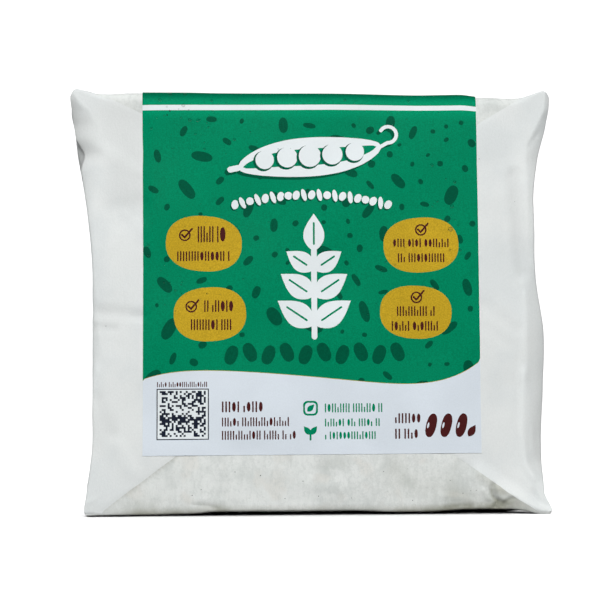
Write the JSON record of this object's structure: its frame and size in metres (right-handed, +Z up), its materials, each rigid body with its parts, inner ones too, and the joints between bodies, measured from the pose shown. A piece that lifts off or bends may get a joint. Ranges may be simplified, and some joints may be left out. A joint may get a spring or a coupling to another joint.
{
  "type": "paper-wrapped tempeh cake",
  "caption": "Pressed bean cake wrapped in white paper with folded side flaps, standing on its long narrow side, with a printed label folded over its top.",
  "frame": {"origin": "middle of the face that the pack stands on, at table height", "axes": "+Z up, the label's front faces -Y, +X to the right as seen from the front"},
  "size_m": [0.1287, 0.0314, 0.1131],
  "materials": {
    "wrapping_paper": "matt white kitchen paper, slightly see-through where one layer lies on the cake",
    "printed_label": "satin coated paper, green print with a pale foot"
  },
  "bodies": {
    "root": {"wrapped_cake": "wrapping_paper", "label": "printed_label"}
  },
  "joints": []
}
